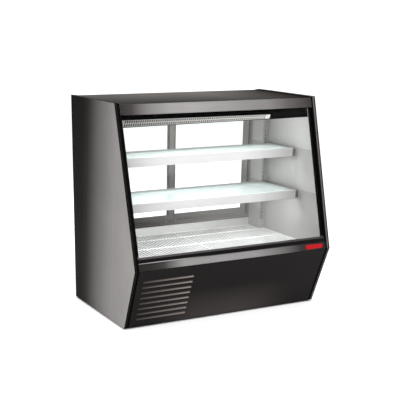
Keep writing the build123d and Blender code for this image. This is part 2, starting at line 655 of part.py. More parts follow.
def condenser():
    x, y, z = CONDENSER_FAN
    save("condenser_coil", *finned_coil((x - 135, -238, 42), (x + 135, -206, 202), 28, 6, 2, 4.5))
    shroud = block(x - 140, x + 140, -203, -201, PAN_Z + 1, 214) - rod((x, -210, z), (x, -190, z), CONDENSER_RING + 2)
    shroud += shroud_ring(x, z, -203, -170, CONDENSER_RING, -174)
    save("condenser_shroud", shroud)
    save("condenser_fan", fan_rotor((x, y, z), 68, 22, 24, 4, 34))


def fan_motors():
    motors = [motor(x, EVAPORATOR_FAN_Z, -94, 32, 16) for x in EVAPORATOR_FANS.values()]
    x, _, z = CONDENSER_FAN
    motors.append(motor(x, z, -171, 55, 30))
    save("fan_motors", *motors)


def pipework():
    x, y = COMPRESSOR
    drier = Cylinder(13, 70) + Pos(0, 0, 42) * Cone(13, 4, 14) + Pos(0, 0, -42) * Cone(4, 13, 14)
    drier = Pos(-250, 40, 121) * drier
    discharge = pipe([(x + 30, y - 84, 160), (x + 30, -150, 160), (x + 165, -150, 160), (x + 165, -222, 160),
                      (x + 150, -222, 160)], 3.5, 8)
    liquid = pipe([(x + 150, -222, 56), (-250, -222, 56), (-250, 40, 56), (-250, 40, 71.5)], 3, 8)
    suction = pipe([(x - 30, y + 84, 150), (x - 30, y + 130, 150), (x + 260, y + 130, 150),
                    (x + 260, y + 130, 215)], 5, 14)
    save("refrigerant_lines", discharge, liquid, suction, drier)


def condensate_pan():
    x, y = DRAIN
    tray = block(x - 130, x + 130, y - 95, y + 95, PAN_Z + 1, PAN_Z + 46)
    tray = fillet(tray.edges().filter_by(Axis.Z), 12)
    hollow = block(x - 128, x + 128, y - 93, y + 93, PAN_Z + 3, PAN_Z + 50)
    hollow = fillet(hollow.edges().filter_by(Axis.Z), 10)
    save("condensate_pan", tray - hollow)


def electrics():
    box = block(-160, -40, 262, 380, PAN_Z + 1, 140)
    box = fillet(box.edges().filter_by(Axis.Z), 5)
    box += block(-162, -38, 260, 382, 138, 146)
    save("electrical_box", box)
    start = (-39, 300, 70)
    lead = pipe([start, (60, 300, 70), (60, 60, 44), (-120, 60, 44), (-120, 180, 44), (30, 180, 44),
                 (30, 120, 44)], 4.2, 18)
    plug = block(12, 48, 84, 120, 34, 56)
    plug = fillet(plug.edges().filter_by(Axis.Z), 6)
    for x in (23, 37):
        plug += block(x - 0.8, x + 0.8, 66, 86, 42, 48)
    plug += rod((30, 66, 52), (30, 86, 52), 2)
    save("power_cord", lead + plug)


def controller():
    """A panel-mounted digital thermostat with three buttons beside its window."""
    x, z = CONTROLLER
    face_y = PANEL_Y + SHEET
    body = block(x - 35, x + 35, 345, face_y + 1, z - 14, z + 14)
    bezel = block(x - 38.5, x + 38.5, face_y, face_y + 8, z - 17.5, z + 17.5)
    bezel = fillet(bezel.edges().filter_by(Axis.Y), 4)
    body += bezel
    body -= block(x - 8, x + 32, face_y + 7, face_y + 9, z - 11, z + 11)
    for button_x in BUTTON_X:
        body -= rod((button_x, face_y + 2, z), (button_x, face_y + 9, z), BUTTON_RADIUS + RUNNING)
    save("controller", body)
    for name, button_x in zip(("set", "up", "down"), BUTTON_X):
        cap = rod((button_x, face_y + 3.5, z), (button_x, face_y + 10, z), BUTTON_RADIUS)
        save(f"button_{name}", fillet(cap.edges().sort_by(Axis.Y)[-1], 0.8))


def light_switch():
    """A panel-mounted rocker, drawn with its lower half pressed in."""
    x, z = SWITCH
    face_y = PANEL_Y + SHEET
    housing = block(x - 10.8, x + 10.8, face_y - 22, face_y + 1, z - 13.8, z + 13.8)
    housing += block(x - 13, x + 13, face_y, face_y + 3, z - 16, z + 16)
    housing -= block(x - 8.3, x + 8.3, face_y - 10, face_y + 4, z - 12, z + 12)
    pivot_y = face_y + 1
    housing -= rod((x - 11, pivot_y, z), (x + 11, pivot_y, z), 1.5 + RUNNING)
    save("switch_housing", housing)
    cap = across([(pivot_y - 3, z - 5), (pivot_y - 3, z + 5), (pivot_y + 1, z + 10), (pivot_y + 5.5, z + 9.5),
                  (pivot_y + 4, z), (pivot_y + 5.5, z - 9.5), (pivot_y + 1, z - 10)], x - 8, x + 8)
    cap += rod((x - 10, pivot_y, z), (x + 10, pivot_y, z), 1.5)
    tilt = Pos(0, pivot_y, z) * Rot(8, 0, 0) * Pos(0, -pivot_y, -z)
    save("light_switch", tilt * cap)


os.makedirs("parts", exist_ok=True)
end_panels()
canopy()
duct_panel_and_grille()
canopy_light()
glass_front()
bumper_and_badge()
save("panel_screws", *kick_panel(), *rear_panel())
side_liners()
tub()
standards()
shelves()
save("floor_racks", floor_rack(-599, -1.5), floor_rack(1.5, 599))
rear_door_frame()
door("left")
door("right")
cold_side()
base_frame()
for place, (foot_x, foot_y) in FEET.items():
    save(f"foot_{place}", foot(foot_x, foot_y))
compressor()
condenser()
fan_motors()
pipework()
condensate_pan()
electrics()
controller()
light_switch()
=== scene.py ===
"""Looks of the refrigerated deli case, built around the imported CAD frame. Metres, in the frame's own axes."""

import math

import bmesh
import bpy
from mathutils import Matrix, Vector

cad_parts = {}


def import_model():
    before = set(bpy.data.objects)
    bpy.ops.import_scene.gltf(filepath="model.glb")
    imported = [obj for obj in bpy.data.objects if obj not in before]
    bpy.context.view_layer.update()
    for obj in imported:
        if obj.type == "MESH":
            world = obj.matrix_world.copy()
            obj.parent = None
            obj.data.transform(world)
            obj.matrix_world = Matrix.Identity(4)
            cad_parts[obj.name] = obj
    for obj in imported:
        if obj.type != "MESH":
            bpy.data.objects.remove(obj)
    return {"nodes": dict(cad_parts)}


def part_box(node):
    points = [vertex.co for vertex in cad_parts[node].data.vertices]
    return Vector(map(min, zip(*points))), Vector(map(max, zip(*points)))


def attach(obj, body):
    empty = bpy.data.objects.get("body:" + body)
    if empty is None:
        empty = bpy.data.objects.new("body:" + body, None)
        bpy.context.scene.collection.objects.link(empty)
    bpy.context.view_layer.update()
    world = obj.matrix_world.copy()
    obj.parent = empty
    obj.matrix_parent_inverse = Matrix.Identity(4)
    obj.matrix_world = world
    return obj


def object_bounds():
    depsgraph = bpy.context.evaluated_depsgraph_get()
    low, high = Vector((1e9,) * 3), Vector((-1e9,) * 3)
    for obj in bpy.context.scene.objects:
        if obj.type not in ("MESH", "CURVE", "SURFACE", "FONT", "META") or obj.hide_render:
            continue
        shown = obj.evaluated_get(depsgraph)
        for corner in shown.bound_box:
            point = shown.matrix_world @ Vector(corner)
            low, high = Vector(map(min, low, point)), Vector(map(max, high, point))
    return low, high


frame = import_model()
cad_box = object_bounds()
nodes = frame["nodes"]

LOW, HIGH = cad_box
MM = 0.001


# Node helpers

def shade(code):
    """A linear colour from an sRGB hex code."""
    channels = [int(code[i:i + 2], 16) / 255 for i in (0, 2, 4)]
    return tuple(c / 12.92 if c <= 0.04045 else ((c + 0.055) / 1.055) ** 2.4 for c in channels) + (1.0,)


def add(tree, kind, settings=None, **inputs):
    """Adds a node, sets its own properties, and sets or links its inputs by name."""
    made = tree.nodes.new("ShaderNode" + kind)
    for key, value in (settings or {}).items():
        setattr(made, key, value)
    for key, value in inputs.items():
        numbered = key[0] == "i" and key[1:].isdigit()
        socket = made.inputs[int(key[1:]) if numbered else key.replace("_", " ")]
        if isinstance(value, bpy.types.NodeSocket):
            tree.links.new(value, socket)
        else:
            socket.default_value = value
    return made


def maths(tree, operation, a, b=0.0):
    return add(tree, "Math", {"operation": operation}, i0=a, i1=b).outputs[0]


def position(tree):
    """The point being shaded, in the frame's axes at rest."""
    return add(tree, "TexCoord").outputs["Object"]


def along(tree, axis):
    """One coordinate of the point being shaded."""
    return add(tree, "SeparateXYZ", i0=position(tree)).outputs["XYZ".index(axis)]


def ramp(tree, value, low, high, stops):
    """A colour that runs through the stops as the value goes from low to high."""
    share = add(tree, "MapRange", Value=value, From_Min=low, From_Max=high).outputs[0]
    made = add(tree, "ValToRGB", Fac=share)
    elements = made.color_ramp.elements
    while len(elements) < len(stops):
        elements.new(0.5)
    for element, (place, colour) in zip(elements, stops):
        element.position = place
        element.color = shade(colour)
    return made.outputs[0]


def noise(tree, scale, stretch=(1, 1, 1), detail=3.0, roughness=0.55, offset=(0, 0, 0)):
    """A noise value between 0 and 1, stretched along the axes."""
    placed = add(tree, "Mapping", Vector=position(tree), Scale=stretch, Location=offset)
    made = add(tree, "TexNoise", Vector=placed.outputs[0], Scale=scale, Detail=detail, Roughness=roughness)
    return made.outputs[0]


def spread(tree, value, low, high):
    """Maps a noise value's busy middle onto a range."""
    return add(tree, "MapRange", Value=value, From_Min=0.3, From_Max=0.7, To_Min=low, To_Max=high).outputs[0]


def mix(tree, share, a, b, blend="MIX"):
    """One colour blended over another; each is a socket or a plain colour."""
    made = add(tree, "Mix", {"data_type": "RGBA", "blend_type": blend}, i0=share)
    for socket, value in ((made.inputs[6], a), (made.inputs[7], b)):
        if isinstance(value, bpy.types.NodeSocket):
            tree.links.new(value, socket)
        else:
            socket.default_value = value
    return made.outputs[2]


def grey_times(tree, colour, value):
    """A colour multiplied by a grey value."""
    grey = add(tree, "CombineColor", i0=value, i1=value, i2=value).outputs[0]
    return mix(tree, 1.0, colour, grey, "MULTIPLY")


def round_normal(tree, radius):
    """A normal that softens the edges of a piece, as a small bevel would."""
    return add(tree, "Bevel", {"samples": 4}, Radius=radius).outputs[0]


def edge_mask(tree, rounded):
    """1 on the worn edges of a piece, 0 on its flat faces."""
    flat = add(tree, "NewGeometry").outputs["Normal"]
    dot = add(tree, "VectorMath", {"operation": "DOT_PRODUCT"}, i0=rounded, i1=flat).outputs["Value"]
    return add(tree, "MapRange", Value=dot, From_Min=0.995, From_Max=0.85, To_Min=0.0, To_Max=1.0).outputs[0]


def bumped(tree, height, strength, distance, normal):
    """A normal with the height's relief laid over another normal."""
    return add(tree, "Bump", Height=height, Strength=strength, Distance=distance, Normal=normal).outputs[0]


def start(name):
    """A new material's empty node tree and its output node."""
    material = bpy.data.materials.new(name)
    material.use_nodes = True
    tree = material.node_tree
    tree.nodes.clear()
    return material, tree, tree.nodes.new("ShaderNodeOutputMaterial")


def finish_surface(tree, out, **inputs):
    shader = add(tree, "BsdfPrincipled", **inputs)
    tree.links.new(shader.outputs[0], out.inputs[0])


# Materials

KNEE_HEIGHT = 0.360                         # the front's furthest edge, from the floor
FRONT_LEAN = math.atan2(0.242, 0.838)       # of the glass front, back from upright
KICK_LEAN = math.atan2(0.139, KNEE_HEIGHT)  # of the kick panel, back below the knee
PANEL_END = 0.60                            # half the case's width, short of the end panels
INNER_END = 0.57                            # half the width between the side liners
CORE_JOINT = (0.617, 0.620)                 # where an end panel's core meets its outer skin
TOP_PANEL_FRONT = -0.172
STANDARD_MIDDLE = Vector((0.577, 0.235))    # the right shelf standard, in X and Y
STANDARD_HALF, STANDARD_FOOT = 0.0105, 0.411
CHANNEL_TOP_FACE = (0.4180, 0.4305)         # heights between which the glass channel's upper face lies
DECK_FACE, UPSTAND_FOOT = 0.3505, 0.3560    # heights in the tub


def brushed(name, colour_of, grain, metallic=0.0, roughness=0.42, wear="8a8684", round_mm=1.0,
            grain_depth=0.10, patch=0.06, shine=0.2):
    """Satin metal with a straight grain, faint cloudy handling marks and lighter worn edges."""
    material, tree, out = start(name)
    colour = colour_of(tree)
    stretch = tuple(3.0 if axis == grain else 420.0 for axis in "XYZ")
    lines = noise(tree, 1.0, stretch, detail=4.0, roughness=0.7)
    clouds = noise(tree, 3.2, detail=4.0, offset=(3, 1, 7))
    colour = grey_times(tree, colour, spread(tree, lines, 1 - grain_depth, 1 + grain_depth))
    colour = grey_times(tree, colour, spread(tree, clouds, 1 - patch, 1 + patch))
    rounded = round_normal(tree, round_mm * MM)
    colour = mix(tree, maths(tree, "MULTIPLY", edge_mask(tree, rounded), 0.35), colour, shade(wear))
    patchy = spread(tree, clouds, roughness - 0.05, roughness + 0.05)
    rough = maths(tree, "ADD", spread(tree, lines, -0.05, 0.07), patchy)
    normal = bumped(tree, lines, 0.12, 0.0004, rounded)
    finish_surface(tree, out, Base_Color=colour, Metallic=metallic, Roughness=rough, Normal=normal,
                   Specular_IOR_Level=shine)
    return material


def painted(name, code, roughness=0.4, texture=0.06, wear=None, round_mm=0.8, metallic=0.0, scale=900.0,
            coat=0.0, shine=0.25):
    """Coated metal or moulded plastic: a fine orange-peel skin, slight colour drift, softened edges."""
    material, tree, out = start(name)
    clouds = noise(tree, 6.0, detail=4.0)
    peel = noise(tree, scale, detail=2.0)
    colour = grey_times(tree, shade(code), spread(tree, clouds, 1 - texture, 1 + texture))
    rounded = round_normal(tree, round_mm * MM)
    if wear:
        colour = mix(tree, maths(tree, "MULTIPLY", edge_mask(tree, rounded), 0.4), colour, shade(wear))
    rough = spread(tree, clouds, roughness - 0.06, roughness + 0.06)
    normal = bumped(tree, peel, 0.15, 0.0003, rounded)
    finish_surface(tree, out, Base_Color=colour, Metallic=metallic, Roughness=rough, Normal=normal,
                   Coat_Weight=coat, Coat_Roughness=0.15, Specular_IOR_Level=shine)
    return material


def facing(tree, direction):
    """How squarely the flat surface faces a direction, either way."""
    flat = add(tree, "NewGeometry").outputs["True Normal"]
    dot = add(tree, "VectorMath", {"operation": "DOT_PRODUCT"}, i0=flat, i1=direction).outputs["Value"]
    return maths(tree, "ABSOLUTE", dot)


def end_panel_painted_reflection(tree):
    """Near black at the rear, running to mid grey at the front: a painted reflection of soft studio light on
    the black panel, which reaches further back low down. The panel's cut edges are black."""
    lean = maths(tree, "MULTIPLY", maths(tree, "SUBTRACT", 1.0, along(tree, "Z")), 0.09)
    run = maths(tree, "SUBTRACT", along(tree, "Y"), lean)
    face = ramp(tree, run, 0.42, -0.42,
                [(0.0, "0e0c0c"), (0.04, "191617"), (0.20, "1c1919"), (0.28, "2e2b2a"), (0.34, "464241"),
                 (0.42, "615e5d"), (0.50, "757371"), (0.60, "878483"), (0.72, "999695"), (1.0, "a3a09e")])
    broad = maths(tree, "GREATER_THAN", facing(tree, (1, 0, 0)), 0.7)
    return mix(tree, broad, shade("151313"), face)


def core_black_with_painted_highlight(tree):
    """Black, with a strip along the joint with the outer skin that is grey at the upper right, a painted
    highlight.
    """
    x = along(tree, "X")
    joint = add(tree, "MapRange", Value=maths(tree, "ABSOLUTE", x), From_Min=CORE_JOINT[0],
                From_Max=CORE_JOINT[1]).outputs[0]
    right = maths(tree, "GREATER_THAN", x, 0.0)
    upper = maths(tree, "GREATER_THAN", along(tree, "Z"), KNEE_HEIGHT)
    strip = mix(tree, maths(tree, "MULTIPLY", right, upper), shade("1c1a1a"), shade("6c6866"))
    return mix(tree, joint, shade("0c0b0b"), strip)


def header_painted_reflection(tree):
    """Painted reflection on the dark fascia: light in the middle, dark towards both ends."""
    return ramp(tree, along(tree, "X"), -PANEL_END, PANEL_END,
                [(0.0, "343030"), (0.05, "464140"), (0.13, "858281"), (0.24, "a6a3a2"), (0.36, "aba8a7"),
                 (0.46, "a29f9e"), (0.64, "949191"), (0.76, "878483"), (0.87, "625d5c"), (1.0, "332f2e")])


def bumper_painted_reflection(tree):
    """Painted reflection on the dark fascia: dark at the left corner, then light, and dark again further right.
    """
    return ramp(tree, along(tree, "X"), -PANEL_END, PANEL_END,
                [(0.0, "262222"), (0.06, "2c2727"), (0.12, "403b3b"), (0.22, "989695"), (0.6, "929090"),
                 (0.76, "6e6b6b"), (0.86, "322e2e"), (1.0, "1c1a19")])


def bead_painted_light_colour(tree):
    """A painted highlight, bright at the left, and painted shade, lost in shadow further right."""
    return ramp(tree, along(tree, "X"), -PANEL_END, PANEL_END,
                [(0.0, "a9a7a6"), (0.10, "e2e1e0"), (0.24, "b5b3b2"), (0.34, "4a4747"), (0.6, "232121"),
                 (1.0, "171515")])


def top_painted_reflection(tree):
    """Painted reflection on the dark top: mid grey, darkest at the right, and lighter towards the rear, with
    painted shade towards the front edge.
    """
    across = ramp(tree, along(tree, "X"), LOW.x, HIGH.x,
                  [(0.0, "625f5d"), (0.3, "726f6d"), (0.62, "7c7977"), (0.82, "67625f"), (1.0, "262221")])
    painted_light_fade = add(tree, "MapRange", Value=along(tree, "Y"), From_Min=TOP_PANEL_FRONT, From_Max=0.30,
               To_Min=0.42, To_Max=1.1).outputs[0]
    return grey_times(tree, across, painted_light_fade)


def kick_stand(tree):
    """How far a point stands out from the kick panel's leaning plane."""
    behind_knee = maths(tree, "SUBTRACT", along(tree, "Y"), LOW.y)
    above_knee = maths(tree, "SUBTRACT", along(tree, "Z"), KNEE_HEIGHT)
    out_y = maths(tree, "MULTIPLY", behind_knee, -math.cos(KICK_LEAN))
    out_z = maths(tree, "MULTIPLY", above_knee, -math.sin(KICK_LEAN))
    return maths(tree, "ADD", out_y, out_z)


def kick_panel_material():
    """Satin black sheet with a painted glow of reflected light low down, and painted brown-grey highlights on
    the louvre hoods.
    """
    material, tree, out = start("kick_black")
    x, z = along(tree, "X"), along(tree, "Z")
    # painted glow of reflected light, low down in the middle
    painted_glow_low = add(tree, "MapRange", Value=z, From_Min=0.20, From_Max=0.02).outputs[0]
    painted_glow_middle = add(tree, "MapRange", {"interpolation_type": "SMOOTHSTEP"}, Value=maths(tree, "ABSOLUTE", x),
                 From_Min=0.52, From_Max=0.10).outputs[0]
    clouds = noise(tree, 5.0, detail=3.0)
    colour = mix(tree, maths(tree, "MULTIPLY", painted_glow_low, painted_glow_middle), shade("1b1818"), shade("3f3b39"))
    # painted highlight on the louvre hoods, fading towards the left
    hood = add(tree, "MapRange", Value=kick_stand(tree), From_Min=-0.0004, From_Max=0.0030).outputs[0]
    painted_light_fade = add(tree, "MapRange", Value=x, From_Min=-0.60, From_Max=-0.27, To_Min=0.12, To_Max=1.0).outputs[0]
    colour = mix(tree, maths(tree, "MULTIPLY", hood, painted_light_fade), colour, shade("938984"))
    colour = grey_times(tree, colour, spread(tree, clouds, 0.93, 1.07))
    peel = noise(tree, 700.0, detail=2.0)
    rounded = round_normal(tree, 0.8 * MM)
    finish_surface(tree, out, Base_Color=colour, Roughness=spread(tree, clouds, 0.42, 0.55),
                   Normal=bumped(tree, peel, 0.12, 0.0003, rounded), Specular_IOR_Level=0.05)
    return material


def plate_mask(tree, normal):
    """1 on a pane's broad faces, 0 on its cut edges."""
    return maths(tree, "GREATER_THAN", facing(tree, normal), 0.9)


def glass(name, tint, edge, normal, haze=0.02, haze_code="ffffff", shine=1.0):
    """Flat glass: clear broad faces with a Fresnel sheen and faint wipe marks, tinted cut edges.
    The tint is left out for light passing through, so that it doesn't colour what the lamps light."""
    material, tree, out = start(name)
    wipes = noise(tree, 2.5, (1, 1, 3), detail=5.0, roughness=0.65)
    eye = add(tree, "LightPath").outputs["Is Camera Ray"]
    clear = add(tree, "BsdfTransparent", Color=mix(tree, eye, (1, 1, 1, 1), shade(tint))).outputs[0]
    film = add(tree, "BsdfDiffuse", Color=shade(haze_code)).outputs[0]
    clouded = spread(tree, wipes, haze * 0.92, haze * 1.08)
    body = add(tree, "MixShader", i0=clouded, i1=clear, i2=film).outputs[0]
    sheen = add(tree, "BsdfGlossy", Roughness=spread(tree, wipes, 0.02, 0.04)).outputs[0]
    glance = add(tree, "Fresnel", IOR=1.45).outputs[0]
    broad = add(tree, "MixShader", i0=maths(tree, "MULTIPLY", glance, shine), i1=body, i2=sheen).outputs[0]
    cut = add(tree, "BsdfPrincipled", Base_Color=shade(edge), Roughness=0.18, Alpha=0.85).outputs[0]
    whole = add(tree, "MixShader", i0=plate_mask(tree, normal), i1=cut, i2=broad).outputs[0]
    tree.links.new(whole, out.inputs[0])
    return material


def lamp(name, code, strength):
    """A frosted lamp lens that glows, a little unevenly."""
    material, tree, out = start(name)
    grain = noise(tree, 300.0, (0.02, 1, 1), detail=2.0)
    colour = grey_times(tree, shade(code), spread(tree, grain, 0.94, 1.0))
    finish_surface(tree, out, Base_Color=colour, Roughness=0.35, Emission_Color=colour,
                   Emission_Strength=strength)
    return material


def stainless(name, code, grain, roughness=0.38, metallic=0.0):
    """Brushed metal of one even colour."""
    def plain(tree):
        even = add(tree, "RGB").outputs[0]
        even.default_value = shade(code)
        return even
    return brushed(name, plain, grain, metallic, roughness, wear="e4e4e2", grain_depth=0.05, patch=0.05)


def liner_painted_light_and_shade(tree):
    """Brushed stainless, with painted light just above each shelf and painted shade just below it. Behind the
    standards it is painted dark as shade, so that their slots show."""
    height = along(tree, "Z")
    tone = 1.0
    for name in ("upper", "lower"):
        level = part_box(f"{name}_shelf_glass")[1].z
        below = add(tree, "MapRange", Value=height, From_Min=level - 0.14, From_Max=level).outputs[0]
        above = add(tree, "MapRange", Value=height, From_Min=level + 0.10, From_Max=level).outputs[0]
        under = maths(tree, "LESS_THAN", height, level)
        shaded = maths(tree, "MULTIPLY", maths(tree, "MULTIPLY", below, under), -0.17)
        over = maths(tree, "SUBTRACT", 1.0, under)
        lit = maths(tree, "MULTIPLY", maths(tree, "MULTIPLY", above, over), 0.07)
        tone = maths(tree, "ADD", tone, maths(tree, "ADD", shaded, lit))
    beside = maths(tree, "SUBTRACT", maths(tree, "ABSOLUTE", along(tree, "X")), STANDARD_MIDDLE.x)
    across = maths(tree, "LESS_THAN", maths(tree, "ABSOLUTE", beside), STANDARD_HALF)
    raised = maths(tree, "GREATER_THAN", height, STANDARD_FOOT)
    behind = maths(tree, "SUBTRACT", along(tree, "Y"), STANDARD_MIDDLE.y)
    flush = maths(tree, "LESS_THAN", maths(tree, "ABSOLUTE", behind), 0.5 * MM)
    painted_shadow_behind_standard = maths(tree, "MULTIPLY", raised, maths(tree, "MULTIPLY", across, flush))
    return mix(tree, painted_shadow_behind_standard, grey_times(tree, shade("bcbcba"), tone), shade("1c1c1c"))


def gasket_colour(tree):
    """Black, but for the bottom channel's upper face, which catches the light."""
    height = along(tree, "Z")
    above = maths(tree, "GREATER_THAN", height, CHANNEL_TOP_FACE[0])
    below = maths(tree, "LESS_THAN", height, CHANNEL_TOP_FACE[1])
    return mix(tree, maths(tree, "MULTIPLY", above, below), shade("090808"), shade("4a4746"))


def grille_painted_shade(tree):
    """Light grey slats, duller towards the left with painted shade."""
    return ramp(tree, along(tree, "X"), -0.6, 0.35, [(0.0, "9f9e9b"), (0.35, "d4d3d0"), (1.0, "f0efec")])


def shelf_painted_shade(tree):
    """White enamel, a little greyer towards both ends with painted shade."""
    return ramp(tree, along(tree, "X"), -INNER_END, INNER_END,
                [(0.0, "c4c4c3"), (0.15, "e2e2e2"), (0.3, "f2f2f2"), (0.7, "efefef"), (0.9, "d2d2d1"),
                 (1.0, "c2c2c1")])


def deck_painted_shade(tree):
    """Light on the upstands; darker on the deck under the wire racks, a painted shade."""
    height = along(tree, "Z")
    raised = add(tree, "MapRange", Value=height, From_Min=DECK_FACE, From_Max=UPSTAND_FOOT).outputs[0]
    return mix(tree, raised, shade("b0b0ad"), shade("d4d4d2"))


def door_painted_light(tree):
    """Even and light up high; low down it runs from painted shade at the left to painted light at the right."""
    low_run = ramp(tree, along(tree, "X"), -INNER_END, INNER_END,
                   [(0.0, "383635"), (0.35, "4a4846"), (0.6, "747270"), (1.0, "a4a2a0")])
    high_run = ramp(tree, along(tree, "X"), -INNER_END, INNER_END,
                    [(0.0, "8c8a88"), (0.5, "949290"), (1.0, "a5a4a2")])
    rise = add(tree, "MapRange", Value=along(tree, "Z"), From_Min=0.42, From_Max=0.95).outputs[0]
    return mix(tree, rise, low_run, high_run)


def make_materials():
    """Every material, by its short name."""
    front_normal = (0.0, -math.cos(FRONT_LEAN), math.sin(FRONT_LEAN))
    return {
        "end_panel": brushed("end_panel_satin", end_panel_painted_reflection, "Z", wear="1d1b1a", shine=0.01),
        "end_core": brushed("end_core_black", core_black_with_painted_highlight, "Z", wear="151313", patch=0.04, shine=0.0),
        "header": brushed("header_brushed", header_painted_reflection, "X"),
        "bumper": brushed("bumper_brushed", bumper_painted_reflection, "X"),
        "top": brushed("top_satin", top_painted_reflection, "X", shine=0.0),
        "kick": kick_panel_material(),
        "black": painted("black_sheet", "121011", 0.45, wear="2c2a29", shine=0.08),
        "duct": painted("duct_black", "060606", 0.5, shine=0.0),
        "gasket": brushed("black_gasket", gasket_colour, "X", roughness=0.55, wear="242222",
                          grain_depth=0.04, shine=0.1),
        "foam": painted("foam_skin", "e6e4de", 0.7),
        "grille": brushed("grille_light", grille_painted_shade, "X", wear="ffffff", grain_depth=0.03, round_mm=0.4),
        "lamp": lamp("lamp_lens", "fbfdff", 2.2),
        "front_glass": glass("front_glass_clear", "ffffff", "3c5a54", front_normal, haze=0.001, shine=0.03),
        "door_glass": glass("door_glass_clear", "fdfefe", "7fa89f", (0, 1, 0), haze=0.004, shine=0.25),
        "shelf_glass": glass("shelf_glass_teal", "f4fbfa", "b8dedb", (0, 0, 1), haze=0.42,
                             haze_code="eef7f6", shine=0.12),
        "badge": painted("badge_red", "bd1219", 0.3, 0.03, wear="d85050", coat=0.15, shine=0.1),
        "screw": painted("screw_black", "1b1918", 0.4, round_mm=0.3, wear="4a4644"),
        "liner": brushed("liner_stainless", liner_painted_light_and_shade, "Z", wear="e4e4e2", grain_depth=0.05, patch=0.05),
        "deck": brushed("deck_stainless", deck_painted_shade, "X", wear="e4e4e2", grain_depth=0.04),
        "tray": stainless("tray_stainless", "c9c9c6", "X"),
        "standard": stainless("standard_stainless", "a9a9a6", "Z"),
        "bracket": stainless("bracket_steel", "706e6c", "Z"),
        "white_metal": brushed("shelf_white", shelf_painted_shade, "X", wear="ffffff", grain_depth=0.03, patch=0.03),
        "wire": painted("wire_white", "fcfcfb", 0.3, 0.02, wear="ffffff"),
        "door": brushed("door_aluminium", door_painted_light, "Z", wear="a3a2a0", grain_depth=0.07),
        "fins": stainless("fin_aluminium", "c8cacc", "Z", 0.4, 0.8),
        "galvanised": painted("galvanised_sheet", "8f9496", 0.45, 0.12, metallic=0.6),
        "motor": painted("motor_black", "1b1b1c", 0.5, wear="55514f"),
        "compressor": painted("compressor_black", "141415", 0.45, scale=350.0),
        "copper": painted("copper_tube", "c4764f", 0.3, 0.12, metallic=0.9),
        "white_plastic": painted("white_plastic", "e8e7e2", 0.45),
        "grey_plastic": painted("grey_plastic", "8b8e90", 0.5),
        "cord": painted("cord_rubber", "121212", 0.6),
        "control": painted("control_black", "161617", 0.4, wear="39393a"),
        "button": painted("button_grey", "a9abae", 0.4),
        "rocker": painted("rocker_black", "0f0f10", 0.22, coat=0.5),
        "fan": painted("fan_black", "1a1a1b", 0.5),
        "nylon": painted("roller_nylon", "e6e3da", 0.45),
        "foot": painted("foot_steel", "9a9b9c", 0.3, metallic=0.85, round_mm=0.6),
        # the channel bead: painted highlight at the left, painted shade further right
        "bright": brushed("bead_painted_highlight", bead_painted_light_colour, "X", wear="4a4746", round_mm=0.4, grain_depth=0.03),
        "seal": painted("seal_grey", "5f5d5b", 0.75, scale=1600.0),
        "display": painted("display_window", "0a0a0c", 0.12, coat=0.8),
        "digits": lamp("display_digits", "ff3b2e", 5.0),
        "edge_trim": painted("edge_trim_grey", "75716f", 0.5),
        "silicone": painted("silicone_grey", "cfcfcc", 0.35),
    }


NODE_LOOKS = {
    "end_panel_left": "end_panel", "end_panel_right": "end_panel", "end_panel_cores": "end_core",
    "header_fascia": "header", "bumper_fascia": "bumper", "top_panel": "top", "kick_panel": "kick",
    "rear_panel": "black", "duct_panel": "duct", "glass_gaskets": "gasket", "canopy_ceiling": "foam",
    "tub_insulation": "foam", "slot_grille": "grille", "canopy_light": "lamp", "front_glass": "front_glass",
    "left_door_glass": "door_glass", "right_door_glass": "door_glass", "upper_shelf_glass": "shelf_glass",
    "lower_shelf_glass": "shelf_glass", "badge_plate": "badge", "panel_screws": "screw",
    "side_liners": "liner", "tub_liner": "deck", "shelf_standards": "standard",
    "shelf_brackets": "bracket", "upper_shelf_frame": "white_metal", "lower_shelf_frame": "white_metal",
    "floor_racks": "wire", "left_door_frame": "door", "right_door_frame": "door",
    "rear_door_frame": "door", "evaporator_coil": "fins", "condenser_coil": "fins",
    "evaporator_bulkhead": "tray", "condenser_shroud": "galvanised", "base_frame": "galvanised",
    "fan_motors": "motor", "compressor": "compressor", "refrigerant_lines": "copper",
    "drain_tube": "white_plastic", "condensate_pan": "tray", "electrical_box": "grey_plastic",
    "power_cord": "cord", "controller": "control", "switch_housing": "control", "light_switch": "rocker",
    "button_up": "button", "button_down": "button", "button_set": "button",
    "evaporator_fan_left": "fan", "evaporator_fan_right": "fan", "condenser_fan": "fins",
}


def look_of(node):
    """The name of a node's material."""
    if "roller" in node:
        return "nylon"
    if node.startswith("foot_"):
        return "foot"
    return NODE_LOOKS[node]


def dress_cad_nodes(looks):
    """Gives each CAD node its material."""
    for name, piece in nodes.items():
        piece.data.materials.clear()
        piece.data.materials.append(looks[look_of(name)])


# Small pieces that the CAD leaves out

def piece_from(name, mesh_maker, material, body):
    """A new piece from a bmesh function, riding on a body."""
    mesh = bpy.data.meshes.new(name)
    work = bmesh.new()
    mesh_maker(work)
    bmesh.ops.recalc_face_normals(work, faces=work.faces)
    work.to_mesh(mesh)
    work.free()
    made = bpy.data.objects.new(name, mesh)
    bpy.context.scene.collection.objects.link(made)
    mesh.materials.append(material)
    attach(made, body)


def bar(work, corner_low, corner_high, radius, segments=3):
    """A box with rounded edges, between two corners."""
    low, high = Vector(corner_low), Vector(corner_high)
    middle = (low + high) / 2
    size = high - low
    placed = Matrix.Translation(middle) @ Matrix.Diagonal((*size, 1.0))
    made = bmesh.ops.create_cube(work, size=1.0, matrix=placed)
    edges = list({edge for vert in made["verts"] for edge in vert.link_edges})
    bmesh.ops.bevel(work, geom=edges, offset=radius, segments=segments, profile=0.5, affect="EDGES")


